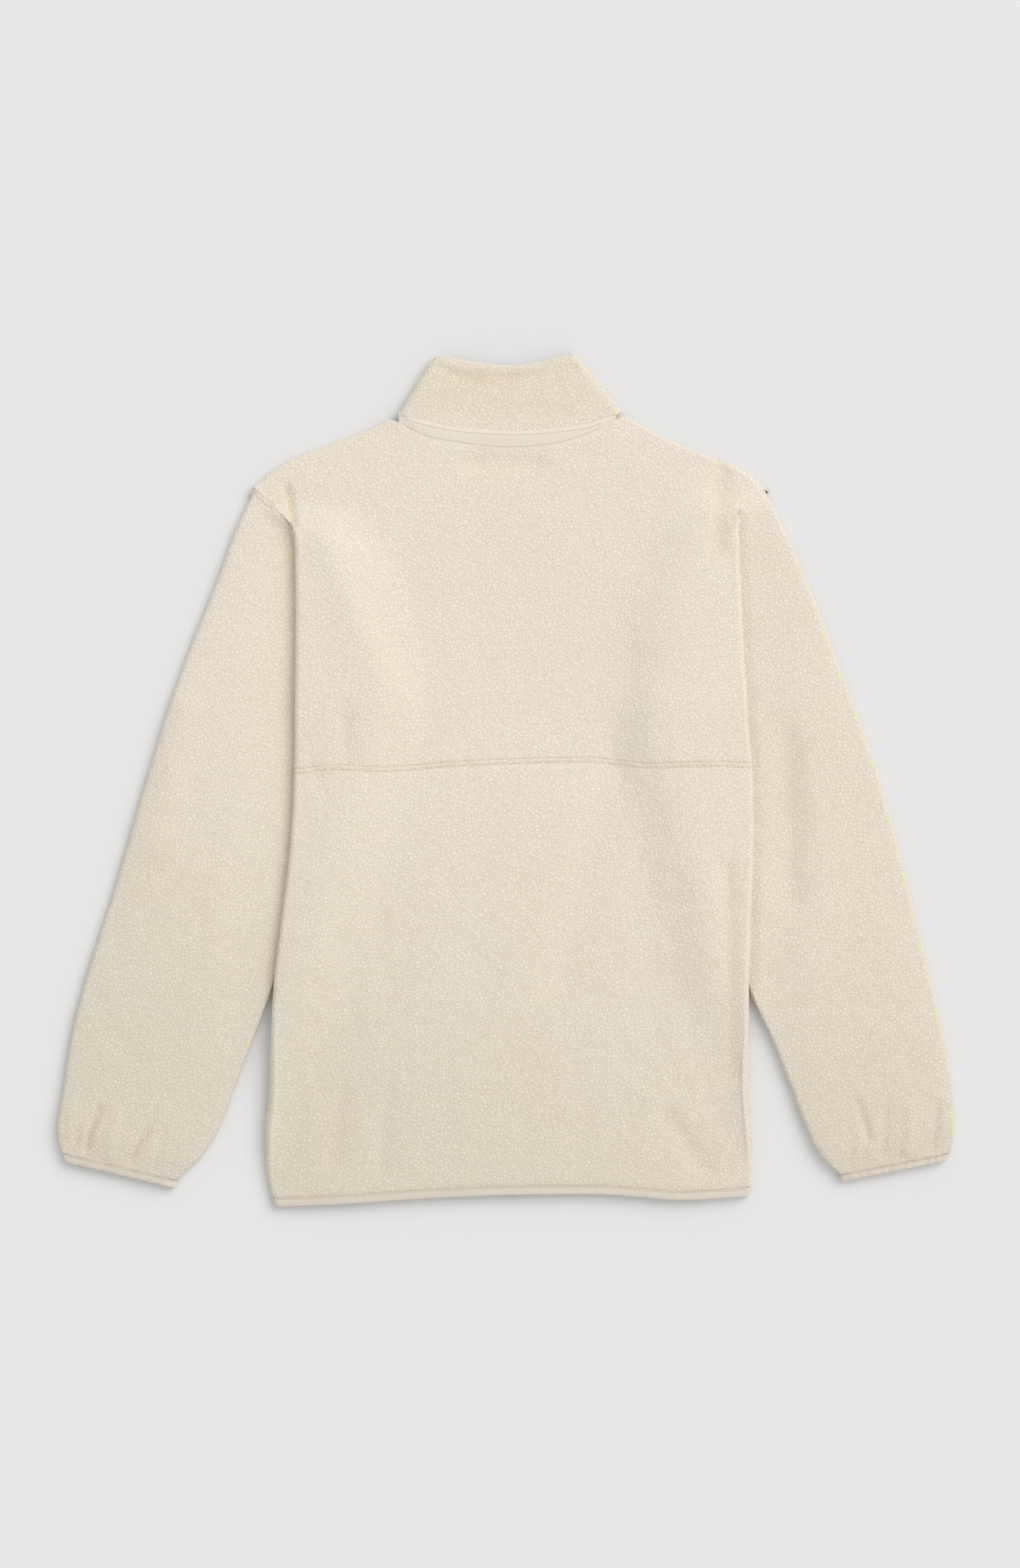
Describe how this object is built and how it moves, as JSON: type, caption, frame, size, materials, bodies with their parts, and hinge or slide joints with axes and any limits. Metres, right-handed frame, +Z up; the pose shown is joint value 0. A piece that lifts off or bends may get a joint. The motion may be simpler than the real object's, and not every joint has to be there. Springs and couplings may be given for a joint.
{
  "type": "fleece jacket",
  "caption": "Pile-fleece jacket with a stand collar, long sleeves and bound cuffs and hem, laid flat with its back up.",
  "frame": {"origin": "under the middle of the laid-out jacket, on the surface it lies on", "axes": "+X across the jacket from its left sleeve to its right sleeve, +Y from hem to collar, +Z up out of its back"},
  "size_m": [0.8121, 0.7712, 0.0235],
  "materials": {
    "fleece": "short pebbled pile, matt",
    "binding": "smooth knitted binding, matt",
    "zip_tape": "woven tape",
    "zip_metal": "satin"
  },
  "bodies": {
    "jacket": {"back_upper": "fleece", "back_lower": "fleece", "front_left": "fleece", "front_right": "fleece", "sleeve_left": "fleece", "sleeve_right": "fleece", "collar": "fleece", "neck_seam_band": "binding", "cuff_binding_left": "binding", "cuff_binding_right": "binding", "hem_binding": "binding", "zip_tape_left": "zip_tape", "zip_tape_right": "zip_tape", "zip_slider": "zip_metal"},
    "pull": {"zip_pull": "zip_metal"}
  },
  "joints": [
    {"name": "zip_pull_swing", "type": "hinge", "parent": "jacket", "child": "pull", "pos_m": [0.004, 0.314, 0.0019], "axis": [1, 0, 0], "range_deg": [0, 170]}
  ]
}
